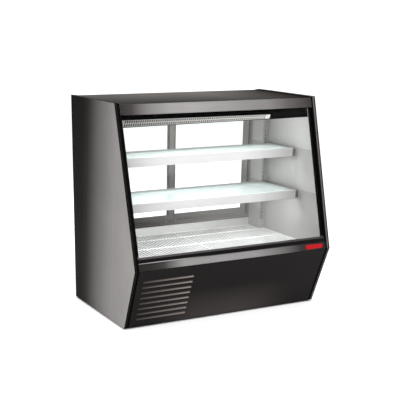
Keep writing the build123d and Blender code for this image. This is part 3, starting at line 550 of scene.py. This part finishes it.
def shelf_lamps(looks):
    """A slim lamp behind each shelf's lip."""
    for name in ("upper", "lower"):
        low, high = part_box(f"{name}_shelf_frame")
        z = low.z + 2.6 * MM

        def make(work, low=low, high=high, z=z):
            bar(work, (low.x + 20 * MM, low.y + 3.5 * MM, z),
                (high.x - 20 * MM, low.y + 14 * MM, z + 6 * MM), 1.8 * MM)
        piece_from(f"{name}_shelf_lamp", make, looks["lamp"], "case")


def shelf_edges(looks):
    """A grey channel round the rear and both sides of each glass shelf."""
    for name in ("upper", "lower"):
        low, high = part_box(f"{name}_shelf_glass")
        frame_low, frame_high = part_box(f"{name}_shelf_frame")
        top, wide = high.z + 1.0 * MM, 3.6 * MM

        def make(work, low=low, high=high, frame_low=frame_low, frame_high=frame_high, top=top, wide=wide):
            for x in (frame_low.x, frame_high.x - wide):
                bar(work, (x, low.y + 1 * MM, low.z), (x + wide, frame_high.y, top), 0.7 * MM, 2)
            bar(work, (frame_low.x, frame_high.y - 0.4 * MM, low.z),
                (frame_high.x, frame_high.y + 1.6 * MM, top), 0.7 * MM, 2)
        piece_from(f"{name}_shelf_edge", make, looks["edge_trim"], "case")


def channel_bead(looks):
    """A bead along the foot of the glass channel, on the leaning front, bright at the left with a painted
    highlight.
    """
    low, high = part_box("bumper_fascia")
    up = Vector((0, math.sin(FRONT_LEAN), math.cos(FRONT_LEAN)))
    out = Vector((0, -math.cos(FRONT_LEAN), math.sin(FRONT_LEAN)))
    base = Vector((0, LOW.y, KNEE_HEIGHT)) + up * 41.0 * MM - out * 3.0 * MM

    def make(work):
        bar(work, (low.x + 1 * MM, -1.6 * MM, -1.4 * MM), (high.x - 1 * MM, 1.0 * MM, 1.4 * MM), 0.9 * MM)
        turn = Matrix.Rotation(-FRONT_LEAN, 4, "X")
        bmesh.ops.transform(work, matrix=Matrix.Translation(base) @ turn, verts=work.verts)
    piece_from("channel_bead", make, looks["bright"], "case")


def door_seals(looks):
    """Brush seals down both edges of one face of each door, the face towards the front of the case."""
    for side in ("left", "right"):
        low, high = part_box(f"{side}_door_frame")
        for end, x in (("outer", low.x + 3 * MM), ("inner", high.x - 7 * MM)):
            def make(work, x=x, low=low, high=high):
                bar(work, (x, low.y - 1.0 * MM, low.z + 12 * MM),
                    (x + 4 * MM, low.y + 0.4 * MM, high.z - 30 * MM), 0.4 * MM, 2)
            piece_from(f"{side}_door_seal_{end}", make, looks["seal"], f"door_{side}")


# Each bar's column and row in a digit, and whether it lies flat
SEGMENTS = {"top": (0, 2, True), "middle": (0, 1, True), "bottom": (0, 0, True),
            "upper_left": (0, 1, False), "upper_right": (1, 1, False),
            "lower_right": (1, 0, False)}
DIGITS = {"3": ("top", "middle", "bottom", "upper_right", "lower_right"),
          "4": ("middle", "upper_left", "upper_right", "lower_right")}
WINDOW_HALF_X, WINDOW_HALF_Z = 19.4 * MM, 10.6 * MM


def display(looks):
    """The controller's window, with a two-digit reading in lit bars."""
    low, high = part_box("controller")
    face = high.y - 0.9 * MM
    centre_x, z = (low.x + high.x) / 2 + 12 * MM, (low.z + high.z) / 2

    def window(work):
        bar(work, (centre_x - WINDOW_HALF_X, face - 0.1 * MM, z - WINDOW_HALF_Z),
            (centre_x + WINDOW_HALF_X, face + 0.5 * MM, z + WINDOW_HALF_Z), 0.25 * MM, 2)
    piece_from("display_window", window, looks["display"], "case")
    width, tall, thick = 7.0 * MM, 7.0 * MM, 1.3 * MM

    def digits(work):
        for place, digit in enumerate("34"):
            left = centre_x + (9.5 - 13 * place) * MM
            for segment in DIGITS[digit]:
                column, row, flat = SEGMENTS[segment]
                x = left - column * width
                foot = z - tall + row * tall
                if flat:
                    ends = ((x - width + thick, foot - thick / 2), (x - thick, foot + thick / 2))
                else:
                    ends = ((x - thick / 2, foot + thick), (x + thick / 2, foot + tall - thick))
                (x0, z0), (x1, z1) = ends
                bar(work, (x0, face + 0.3 * MM, z0), (x1, face + 0.7 * MM, z1), 0.12 * MM, 1)
    piece_from("display_digits", digits, looks["digits"], "case")


def corner_beads(looks):
    """Beads of sealant where the side liners meet the deck."""
    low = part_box("floor_racks")[0]
    liner_low, liner_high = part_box("side_liners")
    for side, x in (("left", liner_low.x + 2.2 * MM), ("right", liner_high.x - 2.2 * MM)):
        inward = 1 if side == "left" else -1
        edge = x + inward * 0.6 * MM

        def make(work, edge=edge, inward=inward):
            x0, x1 = sorted((edge, edge + inward * 3 * MM))
            bar(work, (x0, low.y + 10 * MM, liner_low.z + 0.2 * MM),
                (x1, STANDARD_MIDDLE.y - 2 * MM, liner_low.z + 3.4 * MM), 1.3 * MM)
        piece_from(f"deck_bead_{side}", make, looks["silicone"], "case")


# Stage

FLOOR_SIZE, FLOOR_GLOW = 14.0, 0.55
# The part of the floor that the case covers, which doesn't glow, so that a painted shadow lies under the case
COVERED_HALF_X, COVERED_MIDDLE_Y, COVERED_HALF_Y = 0.625, 0.065, 0.335


def floor():
    """A pale floor that glows a little, except under the case, where the missing glow is a painted shadow."""
    mesh = bpy.data.meshes.new("floor")
    work = bmesh.new()
    bmesh.ops.create_grid(work, x_segments=4, y_segments=4, size=FLOOR_SIZE)
    work.to_mesh(mesh)
    work.free()
    made = bpy.data.objects.new("floor", mesh)
    bpy.context.scene.collection.objects.link(made)
    material, tree, out = start("pale_floor")
    clouds = noise(tree, 0.8, detail=2.0)
    colour = grey_times(tree, shade("f4f4f4"), spread(tree, clouds, 0.99, 1.0))
    beside = maths(tree, "SUBTRACT", maths(tree, "ABSOLUTE", along(tree, "X")), COVERED_HALF_X)
    middle_y = maths(tree, "SUBTRACT", along(tree, "Y"), COVERED_MIDDLE_Y)
    ahead = maths(tree, "SUBTRACT", maths(tree, "ABSOLUTE", middle_y), COVERED_HALF_Y)
    # no glow under the case and close round it: a painted contact shadow
    clear = add(tree, "MapRange", Value=maths(tree, "MAXIMUM", beside, ahead), From_Min=0.0, From_Max=0.02,
                To_Min=0.0, To_Max=FLOOR_GLOW).outputs[0]
    finish_surface(tree, out, Base_Color=colour, Roughness=0.7, Specular_IOR_Level=0.1,
                   Emission_Color=(1, 1, 1, 1), Emission_Strength=clear)
    mesh.materials.append(material)


def world():
    """White to the eye. What it lights and mirrors is bright above, dim ahead and dark behind."""
    made = bpy.data.worlds.new("studio")
    bpy.context.scene.world = made
    made.use_nodes = True
    tree = made.node_tree
    tree.nodes.clear()
    parts = add(tree, "SeparateXYZ", i0=add(tree, "TexCoord").outputs["Generated"])
    above = add(tree, "MapRange", Value=parts.outputs[2], From_Min=0.25, From_Max=0.9).outputs[0]
    ahead = add(tree, "MapRange", Value=parts.outputs[1], From_Min=0.5, From_Max=-0.5).outputs[0]
    walls = mix(tree, ahead, (0.06, 0.06, 0.06, 1), (0.34, 0.34, 0.34, 1))
    room = mix(tree, above, walls, (1.0, 1.0, 1.0, 1))
    dim = add(tree, "Background", Color=room, Strength=0.9).outputs[0]
    seen = add(tree, "Background", Color=(1, 1, 1, 1), Strength=1.3).outputs[0]
    eye = add(tree, "LightPath").outputs["Is Camera Ray"]
    both = add(tree, "MixShader", i0=eye, i1=dim, i2=seen).outputs[0]
    out = tree.nodes.new("ShaderNodeOutputWorld")
    tree.links.new(both, out.inputs[0])


def area_light(name, place, target, size, power):
    """A soft lamp that points at its target and isn't seen itself."""
    data = bpy.data.lights.new(name, "AREA")
    data.shape = "RECTANGLE"
    data.size, data.size_y = size
    data.energy = power
    made = bpy.data.objects.new(name, data)
    bpy.context.scene.collection.objects.link(made)
    made.location = place
    made.rotation_euler = (Vector(target) - Vector(place)).to_track_quat("-Z", "Y").to_euler()
    made.visible_camera = False


def lights():
    """Three soft lamps round the case, and a strip under the canopy and each shelf's lip."""
    middle = (0, 0, 0.6)
    area_light("key", (-2.2, -3.2, 3.4), middle, (2.4, 2.4), 60)
    area_light("fill", (3.4, -2.6, 2.2), middle, (2.0, 2.0), 25)
    area_light("back", (0.5, 3.6, 2.6), middle, (2.4, 1.6), 45)
    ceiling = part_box("canopy_ceiling")[0].z
    area_light("canopy_strip", (0, -0.08, ceiling - 0.035), (0, -0.02, 0.4), (1.05, 0.04), 1.35)
    for name, power, reach in (("upper", 0.95, 0.15), ("lower", 2.3, 0.28)):
        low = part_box(f"{name}_shelf_frame")[0]
        place, target = (0, low.y + 0.03, low.z + 0.012), (0, low.y + reach, low.z - 0.3)
        area_light(f"{name}_strip", place, target, (1.05, 0.015), power)


CAMERA_PLACE = Vector((-2.6510, -4.5519, 1.6297))
CAMERA_YAW, CAMERA_PITCH, CAMERA_ROLL = (math.radians(a) for a in (27.788, 20.905, 0.635))
LENS, SENSOR = 81.446, 36.0
SHIFT = {"shift_x": 0.0959, "shift_y": 0.3994}


def camera():
    """The main viewpoint. Its lens shift holds only there, so that other views stay centred."""
    data = bpy.data.cameras.new("camera")
    made = bpy.data.objects.new("camera", data)
    bpy.context.scene.collection.objects.link(made)
    bpy.context.scene.camera = made
    forward = Vector((math.sin(CAMERA_YAW) * math.cos(CAMERA_PITCH),
                      math.cos(CAMERA_YAW) * math.cos(CAMERA_PITCH), -math.sin(CAMERA_PITCH)))
    level = Vector((math.cos(CAMERA_YAW), -math.sin(CAMERA_YAW), 0))
    upright = level.cross(forward)
    right = level * math.cos(CAMERA_ROLL) + upright * math.sin(CAMERA_ROLL)
    up = upright * math.cos(CAMERA_ROLL) - level * math.sin(CAMERA_ROLL)
    turn = Matrix((right, up, -forward)).transposed()
    made.matrix_world = Matrix.Translation(CAMERA_PLACE) @ turn.to_4x4()
    data.sensor_width = SENSOR
    data.lens = LENS
    data.clip_start, data.clip_end = 0.05, 60.0
    for path, amount in SHIFT.items():
        driver = data.driver_add(path).driver
        for name, kind in (("px", "LOC_X"), ("py", "LOC_Y"), ("pz", "LOC_Z")):
            variable = driver.variables.new()
            variable.name = name
            variable.type = "TRANSFORMS"
            variable.targets[0].id = made
            variable.targets[0].transform_type = kind
            variable.targets[0].transform_space = "WORLD_SPACE"
        x, y, z = CAMERA_PLACE
        driver.expression = (f"{amount} if abs(px - {x:.4f}) + abs(py - {y:.4f}) + abs(pz - {z:.4f})"
                             " < 0.01 else 0.0")


def colours():
    """Plain colours, and enough see-through bounces for a view along many panes."""
    settings = bpy.context.scene.view_settings
    settings.view_transform = "Standard"
    settings.look = "None"
    bpy.context.scene.cycles.transparent_max_bounces = 24


looks = make_materials()
dress_cad_nodes(looks)
shelf_lamps(looks)
shelf_edges(looks)
channel_bead(looks)
door_seals(looks)
display(looks)
corner_beads(looks)
floor()
world()
lights()
camera()
colours()
